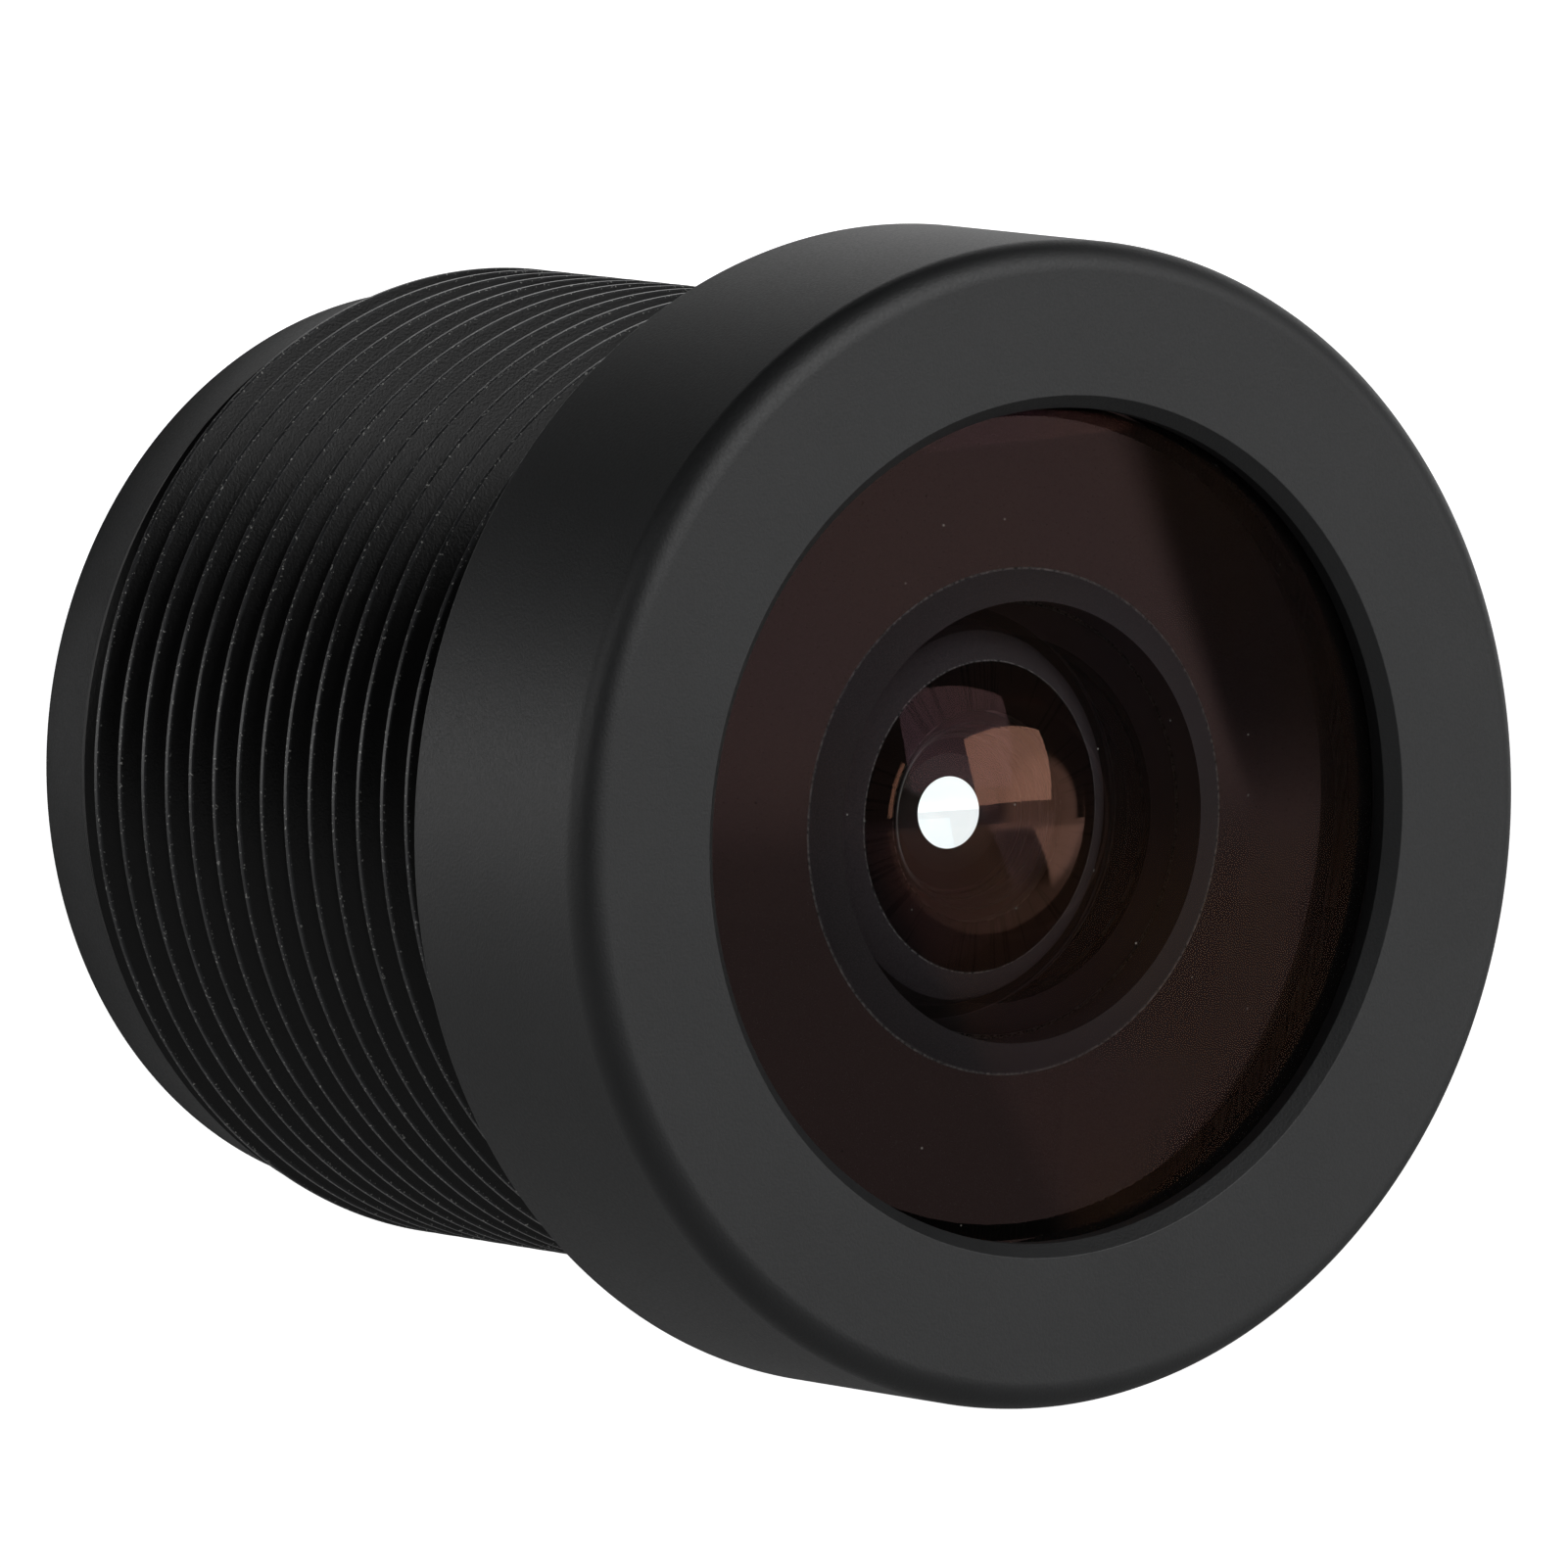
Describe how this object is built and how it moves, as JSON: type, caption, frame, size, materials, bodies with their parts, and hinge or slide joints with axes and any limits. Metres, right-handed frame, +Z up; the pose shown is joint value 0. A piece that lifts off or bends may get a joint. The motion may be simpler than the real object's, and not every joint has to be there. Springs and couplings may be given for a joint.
{
  "type": "board camera lens",
  "caption": "Fixed-focus board camera lens: a round black head with a wide glass front, behind it a finely threaded barrel with a plain rear pilot and an infrared filter.",
  "frame": {"origin": "on the optical axis, in the plane of the head's rear shoulder, where the outside thread begins", "axes": "+Z up, optical axis along Y, the front glass looks towards -Y, the threaded barrel points to +Y"},
  "size_m": [0.014, 0.0132, 0.014],
  "materials": {
    "black_anodised": "fine-blasted, matt black anodised",
    "coated_glass": "polished optical glass with an anti-reflection coating and black-inked edges",
    "filter_glass": "polished flat glass with a pink and green infrared-cut coating",
    "seal_rubber": "matt black moulded rubber",
    "black_foil": "matt black light-stop film",
    "black_plastic": "matt black moulded plastic",
    "adhesive": "cured dark adhesive, slightly glossy"
  },
  "bodies": {
    "root": {"barrel": "black_anodised", "front_cap": "black_anodised", "cap_lock_adhesive": "adhesive", "front_seal_ring": "seal_rubber", "first_lens": "coated_glass", "second_lens": "coated_glass", "glare_baffle": "black_foil", "front_spacer": "black_anodised", "third_lens": "coated_glass", "middle_spacer": "black_anodised", "aperture_stop": "black_foil", "doublet_cell": "black_anodised", "fourth_lens": "coated_glass", "fifth_lens": "coated_glass", "rear_spacer": "black_anodised", "sixth_lens": "coated_glass", "pressure_ring": "black_plastic", "rear_retainer": "black_anodised", "ir_cut_filter": "filter_glass", "filter_adhesive": "adhesive", "retainer_lock_adhesive": "adhesive"}
  },
  "joints": []
}
